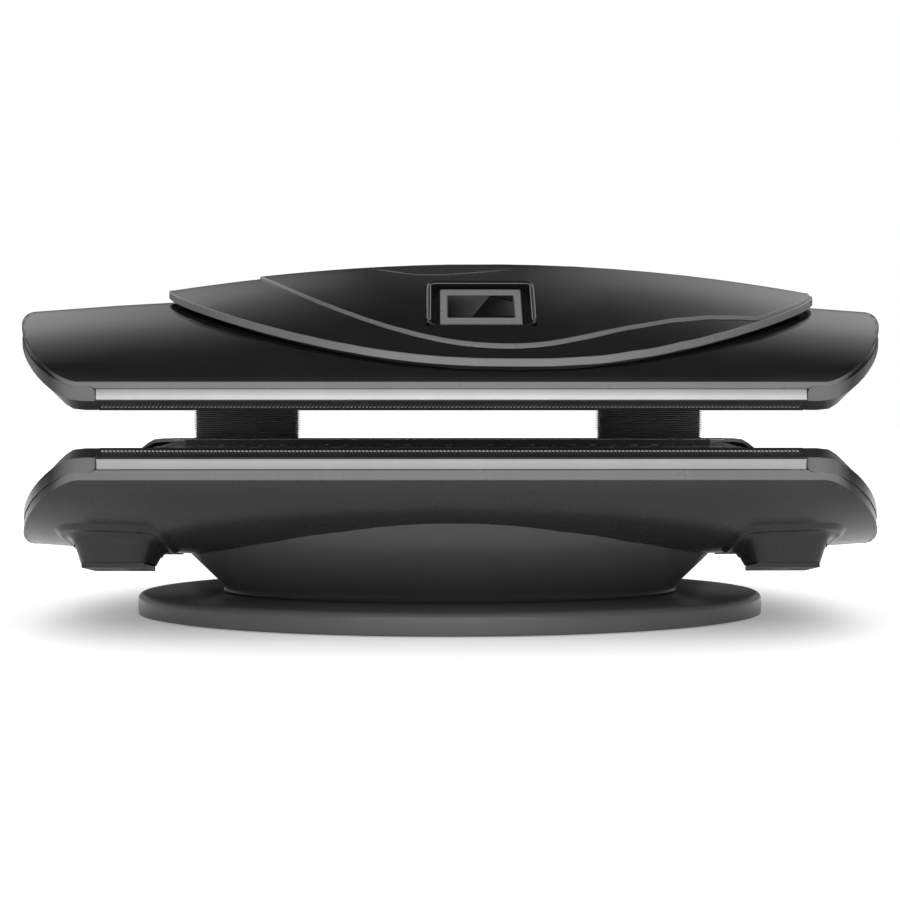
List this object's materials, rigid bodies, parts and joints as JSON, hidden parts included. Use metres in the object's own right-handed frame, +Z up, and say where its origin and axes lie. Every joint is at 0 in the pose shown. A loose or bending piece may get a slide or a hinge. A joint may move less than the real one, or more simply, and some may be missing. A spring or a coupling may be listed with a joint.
{
  "type": "red light therapy bed",
  "caption": "Lie-in light therapy bed: a barrel-shaped lower bed on a flared pedestal and floor disc, and a canopy that rises on rear lift columns inside pleated bellows.",
  "frame": {"origin": "on the floor, under the middle of the floor disc", "axes": "+X along the bed to the user's right, +Y to the rear with the lift columns, +Z up"},
  "size_m": [2.2, 1.3766, 0.9426],
  "materials": {
    "gloss_black": "high gloss",
    "satin_black": "satin",
    "dark_grey": "satin",
    "aluminium": "brushed",
    "steel": "satin",
    "rubber": "matt",
    "acrylic": "clear, polished",
    "circuit": "lacquered",
    "glass": "polished"
  },
  "bodies": {
    "bed": {"base_plate": "satin_black", "bed_acrylic": "acrylic", "bed_end_cap_left": "dark_grey", "bed_end_cap_right": "dark_grey", "bed_frame": "aluminium", "bed_front_rail": "aluminium", "bed_front_strip": "satin_black", "bed_led_panel": "circuit", "bed_rear_rail": "aluminium", "bed_rear_strip": "satin_black", "bed_shell": "satin_black", "bellows_left": "rubber", "bellows_right": "rubber", "chassis": "steel", "column_outer_left": "aluminium", "column_outer_right": "aluminium", "exhaust_duct_front_left": "satin_black", "exhaust_duct_front_right": "satin_black", "exhaust_duct_rear_left": "satin_black", "exhaust_duct_rear_right": "satin_black", "fan_guard_front_left": "dark_grey", "fan_guard_front_right": "dark_grey", "fan_guard_rear_left": "dark_grey", "fan_guard_rear_right": "dark_grey", "floor_pad": "rubber", "lift_motor_left": "steel", "lift_motor_right": "steel", "mains_inlet": "dark_grey", "pedestal_cover": "satin_black", "power_supply": "aluminium", "rear_console": "satin_black"},
    "lift_middle": {"column_middle_left": "aluminium", "column_middle_right": "aluminium"},
    "canopy": {"canopy_acrylic": "acrylic", "canopy_carrier": "satin_black", "canopy_end_cap_left": "dark_grey", "canopy_end_cap_right": "dark_grey", "canopy_frame": "aluminium", "canopy_front_rail": "aluminium", "canopy_front_strip": "satin_black", "canopy_led_panel": "circuit", "canopy_rear_rail": "aluminium", "canopy_rear_strip": "satin_black", "canopy_shell": "gloss_black", "column_inner_left": "aluminium", "column_inner_right": "aluminium", "display_frame": "dark_grey", "display_glass": "glass", "display_tray": "satin_black", "hood": "gloss_black", "hood_cover": "gloss_black"},
    "fan_front_left": {"fan_rotor_front_left": "satin_black"},
    "fan_front_right": {"fan_rotor_front_right": "satin_black"},
    "fan_rear_left": {"fan_rotor_rear_left": "satin_black"},
    "fan_rear_right": {"fan_rotor_rear_right": "satin_black"},
    "screw_left": {"lift_screw_left": "steel"},
    "screw_right": {"lift_screw_right": "steel"},
    "switch": {"mains_switch": "satin_black"}
  },
  "joints": [
    {"name": "canopy_lift", "type": "slide", "parent": "bed", "child": "canopy", "axis": [0, 0, 1], "range_m": [0, 0.4], "deforming": ["bellows_left", "bellows_right"]},
    {"name": "middle_lift", "type": "slide", "parent": "bed", "child": "lift_middle", "axis": [0, 0, 1], "range_m": [0, 0.2]},
    {"name": "screw_turn_left", "type": "hinge", "parent": "bed", "child": "screw_left", "pos_m": [-0.63, 0.685, 0.28], "axis": [0, 0, 1], "range_deg": [0, 7210]},
    {"name": "screw_turn_right", "type": "hinge", "parent": "bed", "child": "screw_right", "pos_m": [0.63, 0.685, 0.28], "axis": [0, 0, 1], "range_deg": [0, 7210]},
    {"name": "fan_spin_front_left", "type": "hinge", "parent": "bed", "child": "fan_front_left", "pos_m": [-0.8405, -0.3085, 0.16], "axis": [0, 0.1564, 0.9877], "continuous": true},
    {"name": "fan_spin_front_right", "type": "hinge", "parent": "bed", "child": "fan_front_right", "pos_m": [0.8405, -0.3085, 0.16], "axis": [0, 0.1564, 0.9877], "continuous": true},
    {"name": "fan_spin_rear_left", "type": "hinge", "parent": "bed", "child": "fan_rear_left", "pos_m": [-0.8405, 0.3085, 0.16], "axis": [0, -0.1564, 0.9877], "continuous": true},
    {"name": "fan_spin_rear_right", "type": "hinge", "parent": "bed", "child": "fan_rear_right", "pos_m": [0.8405, 0.3085, 0.16], "axis": [0, -0.1564, 0.9877], "continuous": true},
    {"name": "switch_rock", "type": "hinge", "parent": "bed", "child": "switch", "pos_m": [-0.275, 0.7941, 0.33], "axis": [1, 0, 0], "range_deg": [-4, 4]}
  ],
  "couplings": [
    {"joint": "middle_lift", "follows": "canopy_lift", "ratio": 0.5},
    {"joint": "screw_turn_left", "follows": "canopy_lift", "rad_per_m": 314.16},
    {"joint": "screw_turn_right", "follows": "canopy_lift", "rad_per_m": 314.16}
  ]
}
